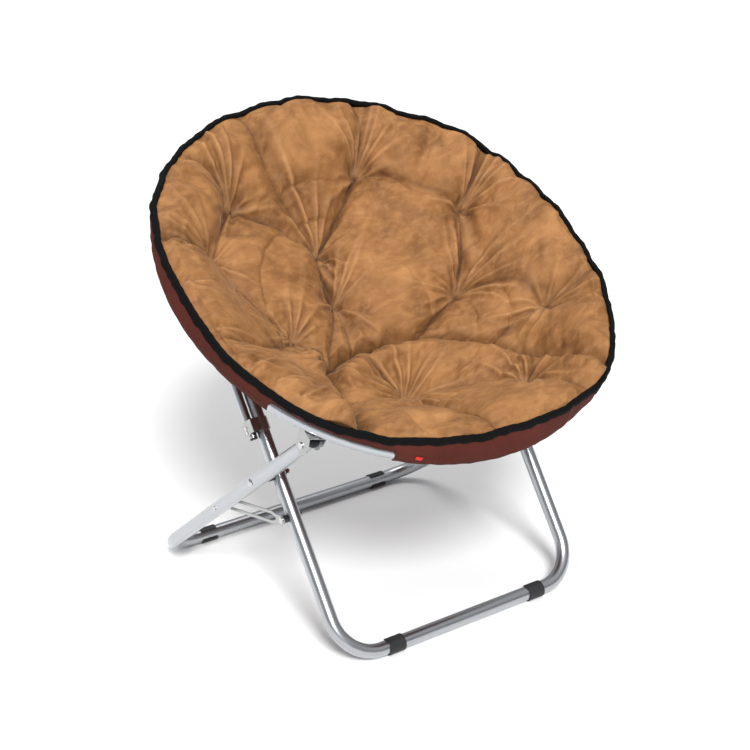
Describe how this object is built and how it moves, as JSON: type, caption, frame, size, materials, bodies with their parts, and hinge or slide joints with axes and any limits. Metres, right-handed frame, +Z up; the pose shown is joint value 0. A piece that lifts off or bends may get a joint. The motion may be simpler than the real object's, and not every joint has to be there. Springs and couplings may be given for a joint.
{
  "type": "folding saucer chair",
  "caption": "Folding saucer chair: a quilted round bowl seat on a tubular ring, carried by crossed U-shaped tube legs, rear struts and slotted stays.",
  "frame": {"origin": "on the floor, under the middle of the chair's bounding box", "axes": "+Z up, -Y towards the front of the seat, +X to the right of a person looking from the front along +Y"},
  "size_m": [0.8252, 0.7036, 0.8442],
  "materials": {
    "silver_tube": "satin silver coating",
    "zinc_sheet": "zinc plated sheet",
    "bright_fastener": "bright plated",
    "black_rubber": "matte",
    "black_plastic": "matte",
    "tan_velvet": "short-pile plush",
    "brown_fabric": "plain woven",
    "black_binding": "woven tape",
    "red_tag": "satin ribbon, bare"
  },
  "bodies": {
    "inner_leg": {"collar_ear_rivet_left": "bright_fastener", "collar_ear_rivet_right": "bright_fastener", "front_pad_left": "black_rubber", "front_pad_right": "black_rubber", "inner_leg_plug_left": "black_plastic", "inner_leg_plug_right": "black_plastic", "inner_leg_tube": "silver_tube", "scissor_bolt_left": "bright_fastener", "scissor_bolt_right": "bright_fastener", "scissor_cap_nut_left": "bright_fastener", "scissor_cap_nut_right": "bright_fastener", "scissor_spacer_left": "black_plastic", "scissor_spacer_right": "black_plastic", "stay_pin_left": "bright_fastener", "stay_pin_right": "bright_fastener", "stay_spacer_left": "black_plastic", "stay_spacer_right": "black_plastic", "strut_collar_left": "zinc_sheet", "strut_collar_right": "zinc_sheet", "strut_pivot_rivet_left": "bright_fastener", "strut_pivot_rivet_right": "bright_fastener"},
    "outer_leg": {"outer_leg_plug_left": "black_plastic", "outer_leg_plug_right": "black_plastic", "outer_leg_tube": "silver_tube", "rear_pad_left": "black_rubber", "rear_pad_right": "black_rubber", "stay_rivet_left": "bright_fastener", "stay_rivet_right": "bright_fastener"},
    "rear_struts": {"strut_lower_plug_left": "black_plastic", "strut_lower_plug_right": "black_plastic", "strut_tube_left": "silver_tube", "strut_tube_right": "silver_tube", "strut_upper_plug_left": "black_plastic", "strut_upper_plug_right": "black_plastic"},
    "seat": {"edge_binding": "black_binding", "front_bracket_left": "zinc_sheet", "front_bracket_right": "zinc_sheet", "front_pivot_rivet_inner_left": "bright_fastener", "front_pivot_rivet_inner_right": "bright_fastener", "front_pivot_rivet_outer_left": "bright_fastener", "front_pivot_rivet_outer_right": "bright_fastener", "rear_bracket_left": "zinc_sheet", "rear_bracket_right": "zinc_sheet", "rear_pivot_pin_left": "bright_fastener", "rear_pivot_pin_right": "bright_fastener", "ring_joiner_left": "silver_tube", "ring_joiner_right": "silver_tube", "ring_sleeve_front": "brown_fabric", "ring_sleeve_rear": "brown_fabric", "ring_tube_front": "silver_tube", "ring_tube_rear": "silver_tube", "seat_cover": "brown_fabric", "seat_cushion": "tan_velvet", "tag": "red_tag"},
    "stays": {"stay_left": "zinc_sheet", "stay_right": "zinc_sheet"}
  },
  "joints": [
    {"name": "fold", "type": "hinge", "parent": "inner_leg", "child": "rear_struts", "pos_m": [0, 0.02054, 0.3661], "axis": [-1, 0, 0], "range_deg": [0, 170], "deforming": ["seat_cushion", "seat_cover"]},
    {"name": "leg_scissor", "type": "hinge", "parent": "inner_leg", "child": "outer_leg", "pos_m": [0, -0.0308, 0.29218], "axis": [-1, 0, 0], "range_deg": [0, 83.47]},
    {"name": "seat_pivot", "type": "hinge", "parent": "rear_struts", "child": "seat", "pos_m": [0, 0.26802, 0.72245], "axis": [-1, 0, 0], "range_deg": [-21.26, 0]},
    {"name": "stay_pivot", "type": "hinge", "parent": "inner_leg", "child": "stays", "pos_m": [0, -0.0745, 0.22926], "axis": [-1, 0, 0], "range_deg": [0, 106.69]}
  ],
  "couplings": [
    {"joint": "leg_scissor", "follows": "fold", "ratio": 0.49097},
    {"joint": "seat_pivot", "follows": "fold", "ratio": -0.12504},
    {"joint": "stay_pivot", "follows": "fold", "ratio": 0.62759}
  ]
}
